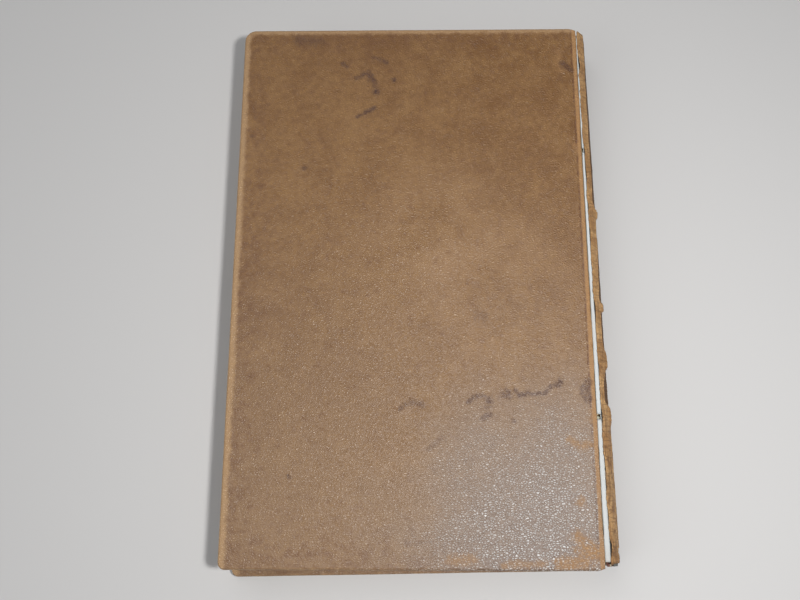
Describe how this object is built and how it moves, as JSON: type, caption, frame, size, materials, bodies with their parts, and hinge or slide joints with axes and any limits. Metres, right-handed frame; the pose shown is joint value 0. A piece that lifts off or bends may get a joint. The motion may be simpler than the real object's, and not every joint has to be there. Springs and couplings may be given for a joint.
{
  "type": "prayer book",
  "caption": "Small worn prayer book in full leather: two boards hinged on a rounded spine, sewn gatherings, endpapers and leaves that turn as a cover opens.",
  "frame": {"origin": "on the front cover's outer face, at the middle of the book's width and height", "axes": "+X towards the spine, +Y towards the head of the book, +Z from the front cover to the back cover"},
  "size_m": [0.1224, 0.1838, 0.018],
  "materials": {
    "calf_leather": "worn, mottled tan-brown calf with a low polish",
    "pasteboard": "matte layered pasteboard",
    "page_paper": "aged laid paper, matte",
    "endpaper": "aged plain endpaper, foxed, matte",
    "lining_paper": "white pasted lining paper, matte",
    "grey_card": "grey spine card, matte",
    "linen_cord": "twisted linen cord",
    "linen_thread": "waxed linen thread",
    "endband_silk": "worked silk endband in two faded colours"
  },
  "bodies": {
    "text_block": {"gathering_01": "page_paper", "gathering_02": "page_paper", "gathering_03": "page_paper", "gathering_04": "page_paper", "gathering_05": "page_paper", "gathering_06": "page_paper", "gathering_07": "page_paper", "gathering_08": "page_paper", "gathering_09": "page_paper", "gathering_10": "page_paper", "gathering_11": "page_paper", "gathering_12": "page_paper", "spine_lining": "lining_paper", "spine_stiffener": "grey_card", "spine_leather": "calf_leather", "front_joint_leather": "calf_leather", "sewing_cord_head": "linen_cord", "sewing_cord_tail": "linen_cord", "sewing_thread": "linen_thread", "headband": "endband_silk", "tailband": "endband_silk"},
    "back_cover": {"back_board": "pasteboard", "back_cover_leather": "calf_leather", "back_pastedown": "endpaper", "back_cord_slips": "linen_cord"},
    "back_flyleaf": {"back_flyleaf": "endpaper"},
    "back_leaf_1": {"back_leaf_1": "page_paper"},
    "back_leaf_2": {"back_leaf_2": "page_paper"},
    "back_leaf_3": {"back_leaf_3": "page_paper"},
    "front_cover": {"front_board": "pasteboard", "front_cover_leather": "calf_leather", "front_pastedown": "endpaper", "front_cord_slips": "linen_cord"},
    "front_flyleaf": {"front_flyleaf": "endpaper"},
    "front_leaf_1": {"front_leaf_1": "page_paper"},
    "front_leaf_2": {"front_leaf_2": "page_paper"},
    "front_leaf_3": {"front_leaf_3": "page_paper"}
  },
  "joints": [
    {"name": "back_cover_hinge", "type": "hinge", "parent": "text_block", "child": "back_cover", "pos_m": [0.05775, 0, 0.018], "axis": [0, 1, 0], "range_deg": [0, 180]},
    {"name": "back_flyleaf_turn", "type": "hinge", "parent": "text_block", "child": "back_flyleaf", "pos_m": [0.05775, 0, 0.018], "axis": [0, 1, 0], "range_deg": [0, 172.8]},
    {"name": "back_leaf_1_turn", "type": "hinge", "parent": "text_block", "child": "back_leaf_1", "pos_m": [0.05775, 0, 0.018], "axis": [0, 1, 0], "range_deg": [0, 162]},
    {"name": "back_leaf_2_turn", "type": "hinge", "parent": "text_block", "child": "back_leaf_2", "pos_m": [0.05775, 0, 0.018], "axis": [0, 1, 0], "range_deg": [0, 99]},
    {"name": "back_leaf_3_turn", "type": "hinge", "parent": "text_block", "child": "back_leaf_3", "pos_m": [0.05775, 0, 0.018], "axis": [0, 1, 0], "range_deg": [0, 21.6]},
    {"name": "front_cover_hinge", "type": "hinge", "parent": "text_block", "child": "front_cover", "pos_m": [0.05775, 0, 0], "axis": [0, -1, 0], "range_deg": [0, 180]},
    {"name": "front_flyleaf_turn", "type": "hinge", "parent": "text_block", "child": "front_flyleaf", "pos_m": [0.05775, 0, 0], "axis": [0, -1, 0], "range_deg": [0, 172.8]},
    {"name": "front_leaf_1_turn", "type": "hinge", "parent": "text_block", "child": "front_leaf_1", "pos_m": [0.05775, 0, 0], "axis": [0, -1, 0], "range_deg": [0, 162]},
    {"name": "front_leaf_2_turn", "type": "hinge", "parent": "text_block", "child": "front_leaf_2", "pos_m": [0.05775, 0, 0], "axis": [0, -1, 0], "range_deg": [0, 99]},
    {"name": "front_leaf_3_turn", "type": "hinge", "parent": "text_block", "child": "front_leaf_3", "pos_m": [0.05775, 0, 0], "axis": [0, -1, 0], "range_deg": [0, 21.6]}
  ],
  "couplings": [
    {"joint": "back_flyleaf_turn", "follows": "back_cover_hinge", "ratio": 0.96},
    {"joint": "back_leaf_1_turn", "follows": "back_cover_hinge", "ratio": 0.9},
    {"joint": "back_leaf_2_turn", "follows": "back_cover_hinge", "ratio": 0.55},
    {"joint": "back_leaf_3_turn", "follows": "back_cover_hinge", "ratio": 0.12},
    {"joint": "front_flyleaf_turn", "follows": "front_cover_hinge", "ratio": 0.96},
    {"joint": "front_leaf_1_turn", "follows": "front_cover_hinge", "ratio": 0.9},
    {"joint": "front_leaf_2_turn", "follows": "front_cover_hinge", "ratio": 0.55},
    {"joint": "front_leaf_3_turn", "follows": "front_cover_hinge", "ratio": 0.12}
  ]
}
